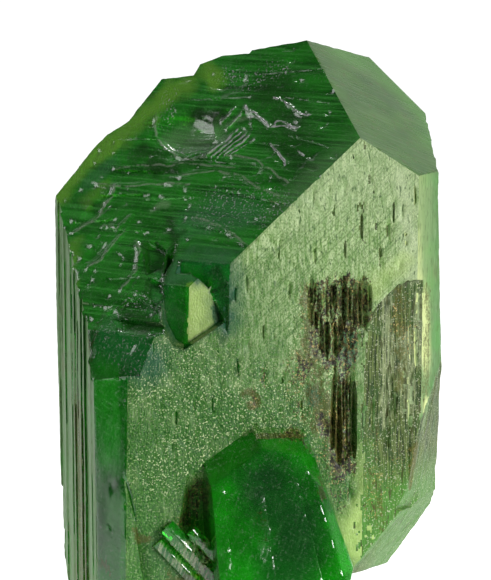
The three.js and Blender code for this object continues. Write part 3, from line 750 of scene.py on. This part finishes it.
# Striated: the left side and the narrow right bevel, ribbed upright, grey-green with brown in
# the furrows; the right bevel is painted paler as a sheen.
tree, place, finish = stone("striated_sides", 0.15, 0.36, 0.55, 0.02, gloss=0.12)
ribs = grain(tree, place, 0.35, 12.0)
fine = grain(tree, place, 0.15, 1.2)
colour = mixed(tree, between(tree, ribs, 0.30, 0.70), (0.10, 0.23, 0.07), (0.16, 0.31, 0.115))
colour = patched(tree, colour, fine, 0.55, 0.65, 0.3, (0.40, 0.58, 0.32))
brownish = between(tree, plus(tree, cloud(tree, 5.0), times(tree, ribs, 0.6)), 0.88, 1.05)
colour = mixed(tree, times(tree, brownish, 0.5), colour, (0.16, 0.15, 0.05))
colour = patched(tree, colour, cloud(tree, 3.0), 0.5, 0.7, 0.4, (0.10, 0.40, 0.07))
colour = washed(tree, colour, "pale_and_sheen", 0.8, (0.80, 0.88, 0.38))
flecks = between(tree, grain(tree, place, 0.18, 0.9, detail=2.0), 0.56, 0.63)
colour = mixed(tree, times(tree, flecks, 0.55), colour, (0.09, 0.15, 0.04))
colour = stained(tree, colour, grain(tree, place, 0.22, 2.4))
striated = finish(colour, fine, plus(tree, ribs, times(tree, fine, 0.4)))

# Ribbed: the far sides and the back, ribbed in the same way but glassier, so that light
# comes through them into the stone.
tree, place, finish = stone("ribbed_back", 0.80, 0.16, 0.34, 0.02, gloss=0.3)
ribs = grain(tree, place, 0.35, 12.0)
fine = grain(tree, place, 0.15, 1.2)
colour = mixed(tree, between(tree, ribs, 0.30, 0.70), (0.10, 0.52, 0.05), (0.30, 0.85, 0.17))
colour = patched(tree, colour, cloud(tree, 3.0), 0.52, 0.66, 0.6, (0.06, 0.38, 0.03))
brownish = between(tree, plus(tree, cloud(tree, 4.0), times(tree, fine, 0.6)), 0.92, 1.06)
colour = mixed(tree, times(tree, brownish, 0.6), colour, (0.22, 0.19, 0.06))
ribbed = finish(colour, fine, plus(tree, ribs, times(tree, fine, 0.4)))

# Satin: the smooth end faces at the top, with olive freckles and a rim painted lighter as a glow.
tree, place, finish = stone("satin_end", 0.50, 0.24, 0.36, 0.02, gloss=0.10)
lines = grain(tree, place, 0.16, 5.0, turn=-60, detail=2.0)
clouds = between(tree, cloud(tree, 2.8), 0.35, 0.65)
colour = mixed(tree, clouds, (0.045, 0.20, 0.010), (0.09, 0.30, 0.022))
colour = patched(tree, colour, lines, 0.50, 0.64, 0.30, (0.34, 0.52, 0.20))
olive = between(tree, cloud(tree, 0.45, 4.0), 0.54, 0.68)
colour = mixed(tree, times(tree, olive, 0.45), colour, (0.15, 0.17, 0.03))
colour = washed(tree, colour, "painted_glow", 0.6, (0.13, 0.50, 0.04))
satin = finish(colour, lines, lines)

# Fibrous: where the front is etched back at the lower right, and the breaks beside it, pale
# splinters with brown and dark green between, painted lighter as a glow near the foot and the
# right edge.
tree, place, finish = stone("fibrous_foot", 0.12, 0.34, 0.58, 0.08, gloss=0.10)
fibres = grain(tree, place, 0.15, 2.4)
fine = grain(tree, place, 0.12, 0.5)
colour = mixed(tree, between(tree, fibres, 0.42, 0.58), (0.018, 0.045, 0.006), (0.14, 0.20, 0.05))
colour = patched(tree, colour, cloud(tree, 1.3), 0.48, 0.62, 0.6, (0.04, 0.11, 0.02))
whitish = plus(tree, times(tree, stain(tree, "pale_and_sheen"), 0.30), times(tree, plus(tree, fibres, fine), 0.5))
whitish = between(tree, whitish, 0.66, 0.84)
colour = mixed(tree, times(tree, whitish, 0.45), colour, (0.44, 0.50, 0.28))
colour = washed(tree, colour, "painted_glow", 0.75, (0.08, 0.28, 0.03))
specks = between(tree, cloud(tree, 0.14, 1.0), 0.61, 0.66)
colour = mixed(tree, times(tree, specks, 0.5), colour, (0.72, 0.76, 0.52))
# Dark upright streaks along the fibres
dark_streaks = between(tree, grain(tree, place, 0.30, 1.6, detail=2.0), 0.60, 0.66)
colour = mixed(tree, times(tree, dark_streaks, 0.8), colour, (0.05, 0.06, 0.012))
colour = stained(tree, colour, grain(tree, place, 0.24, 1.0))
fibrous = finish(colour, fine, plus(tree, fibres, times(tree, fine, 0.5)))

mesh.materials.clear()
for finished in [etched, slanted, glassy, striated, ribbed, satin, fibrous]:
    mesh.materials.append(finished)
finish_numbers = np.array([FINISHES.index(faces[name]["finish"]) for name in face_names])
mesh.polygons.foreach_set("material_index", finish_numbers[polygon_face])
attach(crystal, "root")
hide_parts("diopside_crystal")

# The floor, the camera and the light: a long sheet of white card, a long lens a little above
# it, a white backdrop in a dim room, a soft key lamp from the right, a weak fill from the left
# and a small lamp for glints. Sizes here are in metres.
CARD_WIDTH = 0.30
CARD_LENGTH = 1.0
CARD_FRONT = -0.035
sheet = bmesh.new()
bmesh.ops.create_grid(sheet, x_segments=1, y_segments=1, size=0.5)
bmesh.ops.scale(sheet, vec=(CARD_WIDTH, CARD_LENGTH, 1), verts=sheet.verts)
bmesh.ops.translate(sheet, vec=(0, CARD_FRONT + CARD_LENGTH / 2, 0), verts=sheet.verts)
card_mesh = bpy.data.meshes.new("floor")
sheet.to_mesh(card_mesh)
sheet.free()
table = bpy.data.objects.new("floor", card_mesh)
bpy.context.collection.objects.link(table)
white = bpy.data.materials.new("white_card")
white.use_nodes = True
paint = white.node_tree.nodes["Principled BSDF"]
paint.inputs["Base Color"].default_value = (0.93, 0.93, 0.92, 1)
paint.inputs["Roughness"].default_value = 0.8
paint.inputs["Emission Color"].default_value = (1, 1, 1, 1)
paint.inputs["Emission Strength"].default_value = 0.80
card_mesh.materials.append(white)

CAMERA_DISTANCE = 0.208
CAMERA_RISE = math.radians(4)
lens = bpy.data.cameras.new("camera")
lens.sensor_fit = "VERTICAL"
lens.sensor_height = 36
lens.lens = 161.38
lens.clip_start = 0.01
lens.clip_end = 20
camera = bpy.data.objects.new("camera", lens)
bpy.context.collection.objects.link(camera)
towards_camera = Vector((0, -math.cos(CAMERA_RISE), math.sin(CAMERA_RISE)))
camera.location = HEART * MM + CAMERA_DISTANCE * towards_camera
camera.rotation_euler = (math.pi / 2 - CAMERA_RISE, 0, 0)
bpy.context.scene.camera = camera

BACKDROP = (0.18, 0.98, 0.10)
ROOM_LIGHT = 0.05
BACKDROP_LIGHT = 1.1
studio = bpy.data.worlds.new("studio")
studio.use_nodes = True
bpy.context.scene.world = studio
tree = studio.node_tree
direction = add(tree, "ShaderNodeTexCoord").outputs["Generated"]
towards = add(tree, "ShaderNodeVectorMath", {0: direction, 1: BACKDROP}, operation="DOT_PRODUCT")
light = between(tree, towards.outputs["Value"], 0.35, 0.90, ROOM_LIGHT, BACKDROP_LIGHT)
tree.links.new(light, tree.nodes["Background"].inputs["Strength"])
tree.nodes["Background"].inputs["Color"].default_value = (1, 1, 1, 1)


LAMP_DISTANCE = 0.45


def soft_lamp(name, azimuth, elevation, size, power):
    """A round lamp around the crystal: azimuth is counted from the front towards the right."""
    lamp = bpy.data.lights.new(name, "AREA")
    lamp.shape = "DISK"
    lamp.size = size
    lamp.energy = power
    made = bpy.data.objects.new(name, lamp)
    bpy.context.collection.objects.link(made)
    a, e = math.radians(azimuth), math.radians(elevation)
    out = Vector((math.sin(a) * math.cos(e), -math.cos(a) * math.cos(e), math.sin(e)))
    made.location = HEART * MM + LAMP_DISTANCE * out
    made.rotation_euler = out.to_track_quat("Z", "Y").to_euler()


soft_lamp("key_lamp", 45, 14, size=0.22, power=2.1)
soft_lamp("fill_lamp", -100, 22, size=0.25, power=0.45)
soft_lamp("glint_lamp", -150, 70, size=0.05, power=0.20)
bpy.context.scene.view_settings.view_transform = "Standard"
